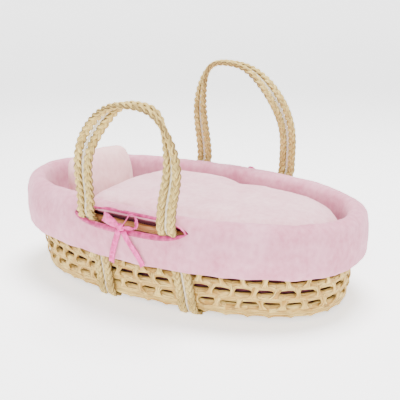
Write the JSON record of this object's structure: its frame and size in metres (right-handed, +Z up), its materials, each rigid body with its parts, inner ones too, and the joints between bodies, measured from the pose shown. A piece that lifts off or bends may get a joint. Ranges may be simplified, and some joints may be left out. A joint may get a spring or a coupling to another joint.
{
  "type": "moses basket",
  "caption": "Doll-size oval moses basket: coiled straw walls on plaited carrying straps, plush liner with a bound slot and bow on each side, mattress, pillow and folding quilt.",
  "frame": {"origin": "on the floor, under the middle of the basket", "axes": "+Z up, the foot end at +X and the head end with the pillow at -X, the near side at -Y"},
  "size_m": [0.5, 0.3338, 0.2966],
  "materials": {
    "straw": "dried husk rope, matt",
    "plaited_husk": "three-strand plait of dried husk, matt",
    "cotton_tape": "woven tape",
    "cane": "peeled cane, satin",
    "plush": "short-pile plush, pale pink",
    "lining": "brushed lining, pale pink",
    "satin": "satin ribbon, pink",
    "ticking": "plain cotton cover",
    "pillow_plush": "short-pile plush, very pale pink"
  },
  "bodies": {
    "root": {"base_mat": "straw", "wall_row_1": "straw", "wall_row_2": "straw", "wall_row_3": "straw", "wall_row_4": "straw", "wall_row_5": "straw", "wall_row_6": "straw", "rim_cane": "cane", "head_strap_plait_outer": "plaited_husk", "head_strap_plait_inner": "plaited_husk", "head_strap_tape": "cotton_tape", "foot_strap_plait_outer": "plaited_husk", "foot_strap_plait_inner": "plaited_husk", "foot_strap_tape": "cotton_tape", "liner_floor": "lining", "liner_wall": "lining", "rim_roll": "plush", "liner_skirt": "plush", "near_slot_binding": "satin", "near_bow_knot": "satin", "near_bow_loop_head": "satin", "near_bow_loop_foot": "satin", "near_bow_tail_head": "satin", "near_bow_tail_foot": "satin", "far_slot_binding": "satin", "far_bow_knot": "satin", "far_bow_loop_head": "satin", "far_bow_loop_foot": "satin", "far_bow_tail_head": "satin", "far_bow_tail_foot": "satin"},
    "near_handle": {"near_handle_plait_outer": "plaited_husk", "near_handle_plait_inner": "plaited_husk", "near_handle_tape": "cotton_tape"},
    "far_handle": {"far_handle_plait_outer": "plaited_husk", "far_handle_plait_inner": "plaited_husk", "far_handle_tape": "cotton_tape"},
    "mattress": {"mattress": "ticking"},
    "pillow": {"pillow": "pillow_plush"},
    "quilt": {"quilt": "plush"},
    "quilt_flap": {"quilt_flap": "plush"}
  },
  "joints": [
    {"name": "near_handle_swing", "type": "hinge", "parent": "root", "child": "near_handle", "pos_m": [0.004, -0.161, 0.136], "axis": [1, 0, 0], "range_deg": [-70, 105]},
    {"name": "far_handle_swing", "type": "hinge", "parent": "root", "child": "far_handle", "pos_m": [0.01, 0.161, 0.136], "axis": [-1, 0, 0], "range_deg": [-70, 105]},
    {"name": "mattress_lift", "type": "slide", "parent": "root", "child": "mattress", "axis": [0, 0, 1], "range_m": [0, 0.25]},
    {"name": "pillow_lift", "type": "slide", "parent": "mattress", "child": "pillow", "axis": [0, 0, 1], "range_m": [0, 0.2]},
    {"name": "quilt_lift", "type": "slide", "parent": "mattress", "child": "quilt", "axis": [0, 0, 1], "range_m": [0, 0.2]},
    {"name": "quilt_fold", "type": "hinge", "parent": "quilt", "child": "quilt_flap", "pos_m": [-0.04, 0, 0.1292], "axis": [0, 1, 0], "range_deg": [0, 150]}
  ]
}
